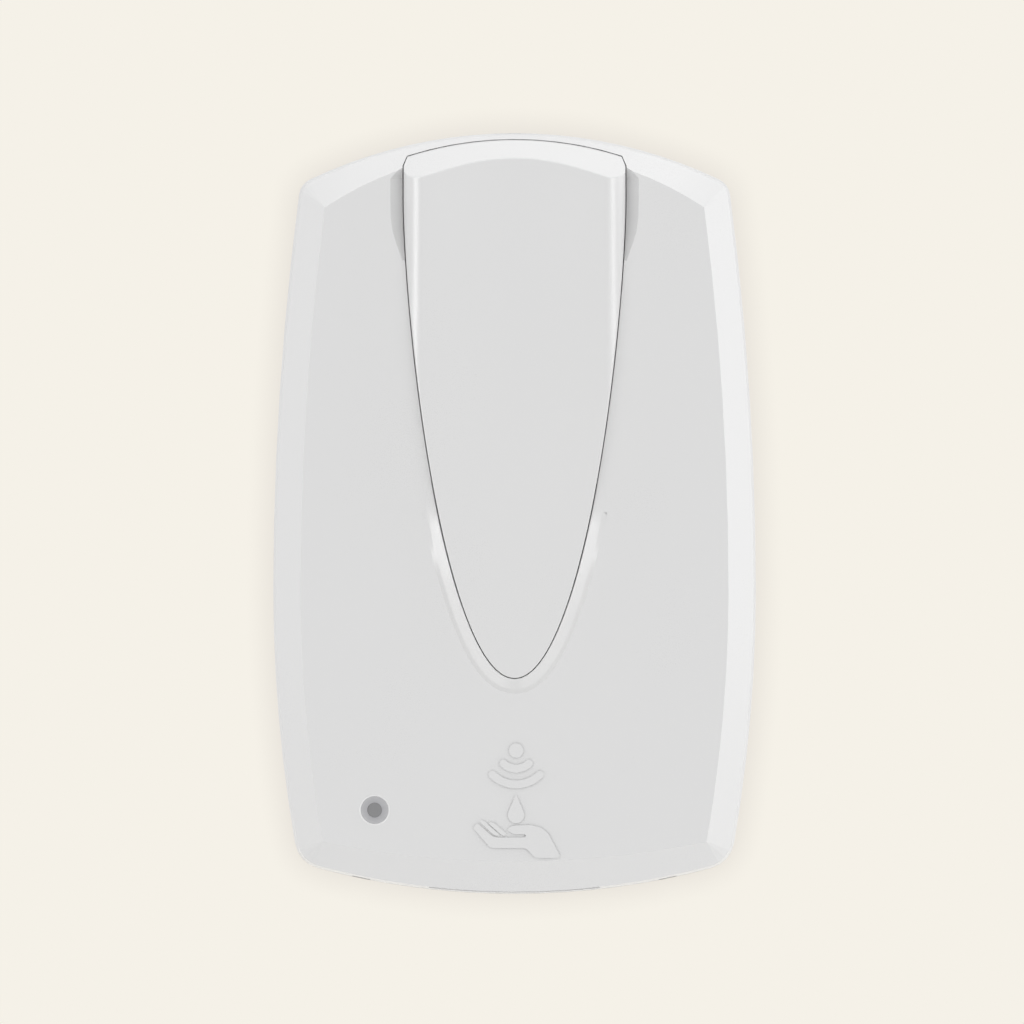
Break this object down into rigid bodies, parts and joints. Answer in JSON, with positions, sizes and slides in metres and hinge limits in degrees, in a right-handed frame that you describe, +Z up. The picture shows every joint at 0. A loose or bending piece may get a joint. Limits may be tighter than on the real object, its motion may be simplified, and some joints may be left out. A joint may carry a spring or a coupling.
{
  "type": "automatic hand sanitizer dispenser",
  "caption": "Wall-mounted touch-free hand sanitizer dispenser: a white bevelled cover with a raised tongue panel over a bottle, pump, gear drive, batteries and sensor.",
  "frame": {"origin": "the middle of the wall plate's flat rear face, half way up the body", "axes": "+Z up, +X right seen from the front, +Y into the wall; the front faces -Y"},
  "size_m": [0.17, 0.118, 0.268],
  "materials": {
    "shell_plastic": "white moulded ABS, satin gloss",
    "lens_plastic": "clear grey acrylic",
    "inner_plastic": "light grey moulded plastic, fine texture",
    "bottle_plastic": "milky blow-moulded polyethylene",
    "pump_plastic": "white moulded polypropylene",
    "gear_plastic": "natural acetal",
    "grey_plastic": "grey moulded plastic",
    "dark_plastic": "near-black plastic that passes infrared light",
    "rubber": "black seal rubber",
    "steel": "plain steel",
    "zinc_plate": "zinc plated",
    "brass": "bright brass",
    "cell_sleeve": "plain printed film sleeve with no print",
    "circuit_board": "green solder mask"
  },
  "bodies": {
    "wall_unit": {"wall_plate": "inner_plastic", "hinge_pin_left": "steel", "hinge_pin_right": "steel", "reed_switch": "grey_plastic", "bottle_shelf": "inner_plastic", "shelf_screw_left": "steel", "shelf_screw_right": "steel", "status_led": "lens_plastic", "refill_bottle": "bottle_plastic", "neck_gasket": "rubber", "pump_collar": "pump_plastic", "pump_body": "pump_plastic", "pump_spring": "steel", "motor": "zinc_plate", "first_axle": "steel", "output_axle": "steel", "drive_case_rear": "grey_plastic", "drive_case_lid": "grey_plastic", "case_screw_1": "steel", "case_screw_2": "steel", "case_screw_3": "steel", "case_screw_4": "steel", "battery_box": "inner_plastic", "battery_cell_1": "cell_sleeve", "battery_cell_2": "cell_sleeve", "battery_cell_3": "cell_sleeve", "battery_cell_4": "cell_sleeve", "contact_low_left": "brass", "contact_low_right": "brass", "contact_high_left": "brass", "contact_high_middle": "brass", "contact_high_right": "brass", "control_board": "circuit_board", "switch_body": "dark_plastic", "board_screw_left": "steel", "board_screw_right": "steel", "outlet_shroud": "inner_plastic", "sensor_window": "dark_plastic", "ir_emitter": "dark_plastic", "ir_receiver": "dark_plastic", "sensor_board": "circuit_board", "lock_keeper": "zinc_plate", "keeper_screw": "steel"},
    "cover_body": {"cover": "shell_plastic", "tongue_panel": "shell_plastic", "status_lens": "lens_plastic", "cover_magnet": "steel", "lock_housing": "zinc_plate", "lock_nut": "zinc_plate"},
    "lock_barrel": {"lock_core": "zinc_plate", "lock_cam": "zinc_plate"},
    "lift_carriage": {"lift_fork": "gear_plastic"},
    "pump_plunger": {"pump_piston": "pump_plastic"},
    "output_wheel": {"output_gear": "gear_plastic"},
    "first_wheel": {"first_gear": "gear_plastic"},
    "motor_wheel": {"motor_pinion": "brass"},
    "box_door": {"battery_door": "inner_plastic"},
    "switch_knob": {"power_switch": "pump_plastic"},
    "bottle_cap": {"fill_cap": "pump_plastic"}
  },
  "joints": [
    {"name": "cover_hinge", "type": "hinge", "parent": "wall_unit", "child": "cover_body", "pos_m": [0, -0.024, -0.118], "axis": [1, 0, 0], "range_deg": [0, 90]},
    {"name": "lock_turn", "type": "hinge", "parent": "cover_body", "child": "lock_barrel", "pos_m": [0, -0.018, 0.12], "axis": [0, 0, 1], "range_deg": [0, 90]},
    {"name": "fork_lift", "type": "slide", "parent": "wall_unit", "child": "lift_carriage", "axis": [0, 0, 1], "range_m": [0, 0.009]},
    {"name": "pump_stroke", "type": "slide", "parent": "wall_unit", "child": "pump_plunger", "axis": [0, 0, 1], "range_m": [0, 0.009], "stiffness_N_per_m": 300, "springref_m": -0.004, "deforming": ["pump_spring"]},
    {"name": "output_turn", "type": "hinge", "parent": "wall_unit", "child": "output_wheel", "pos_m": [-0.02491, -0.0405, -0.097], "axis": [0, -1, 0], "range_deg": [0, 68.8]},
    {"name": "first_turn", "type": "hinge", "parent": "wall_unit", "child": "first_wheel", "pos_m": [-0.00401, -0.036, -0.097], "axis": [0, -1, 0], "range_deg": [-229.3, 0]},
    {"name": "motor_turn", "type": "hinge", "parent": "wall_unit", "child": "motor_wheel", "pos_m": [0.01609, -0.036, -0.097], "axis": [0, -1, 0], "range_deg": [0, 917]},
    {"name": "battery_door_slide", "type": "slide", "parent": "wall_unit", "child": "box_door", "axis": [0, 0, 1], "range_m": [0, 0.05]},
    {"name": "power_switch_slide", "type": "slide", "parent": "wall_unit", "child": "switch_knob", "axis": [1, 0, 0], "range_m": [0, 0.004]},
    {"name": "fill_cap_turn", "type": "hinge", "parent": "wall_unit", "child": "bottle_cap", "pos_m": [0, -0.0715, 0.085], "axis": [0, 0, 1], "range_deg": [0, 90]}
  ],
  "couplings": [
    {"joint": "pump_stroke", "follows": "fork_lift", "ratio": 1},
    {"joint": "output_turn", "follows": "fork_lift", "rad_per_m": 133.33},
    {"joint": "first_turn", "follows": "fork_lift", "rad_per_m": -444.44},
    {"joint": "motor_turn", "follows": "fork_lift", "rad_per_m": 1777.8}
  ]
}
